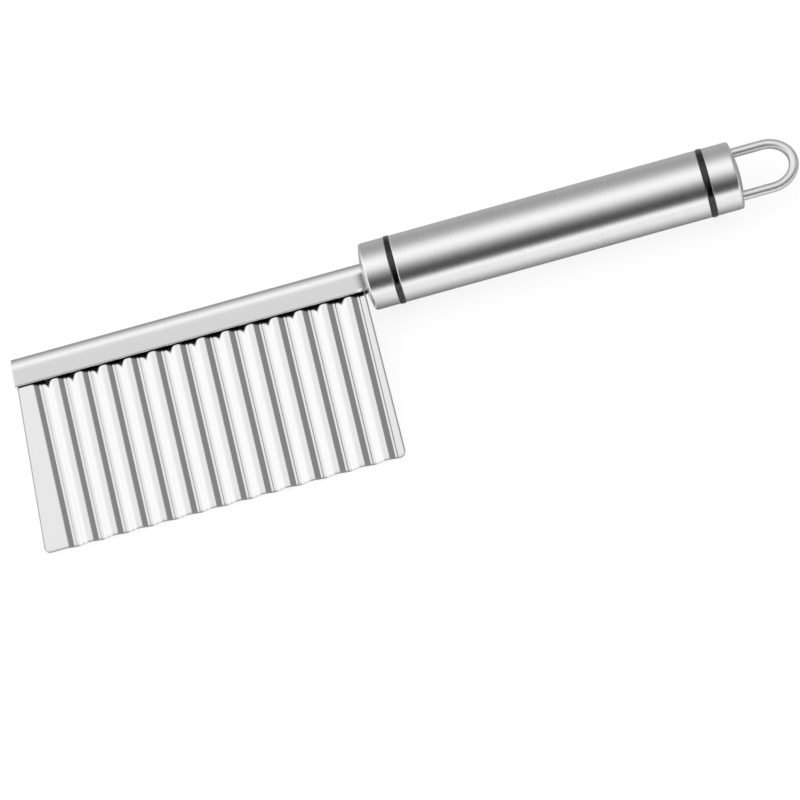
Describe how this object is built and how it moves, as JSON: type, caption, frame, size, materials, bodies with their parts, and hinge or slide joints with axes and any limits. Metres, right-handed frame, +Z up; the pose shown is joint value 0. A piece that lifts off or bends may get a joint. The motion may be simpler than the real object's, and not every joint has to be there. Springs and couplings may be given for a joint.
{
  "type": "crinkle cutter",
  "caption": "Hand-held crinkle cutter: corrugated steel blade in a folded spine, round satin steel handle with black rings and a wire hanging loop.",
  "frame": {"origin": "centre of the bottom of the bounding box, on the surface that the tool lies on", "axes": "+X along the handle from the blade's tip to the hanging loop, +Y from the cutting edge towards the spine, +Z up out of the surface"},
  "size_m": [0.2992, 0.0804, 0.0255],
  "materials": {
    "polished_steel": "polished stainless steel",
    "satin_steel": "satin stainless steel, brushed round the handle",
    "plain_steel": "plain mill-finish steel",
    "black_rubber": "smooth black rubber",
    "black_plastic": "moulded black plastic"
  },
  "bodies": {
    "root": {"blade": "polished_steel", "spine_channel": "polished_steel", "tang": "plain_steel", "tang_pin_1": "plain_steel", "tang_pin_2": "plain_steel", "front_cap": "satin_steel", "front_ring": "black_rubber", "front_plug": "black_plastic", "handle_tube": "satin_steel", "rear_ring": "black_rubber", "rear_plug": "black_plastic", "end_cap": "satin_steel", "hanging_loop": "polished_steel"}
  },
  "joints": []
}
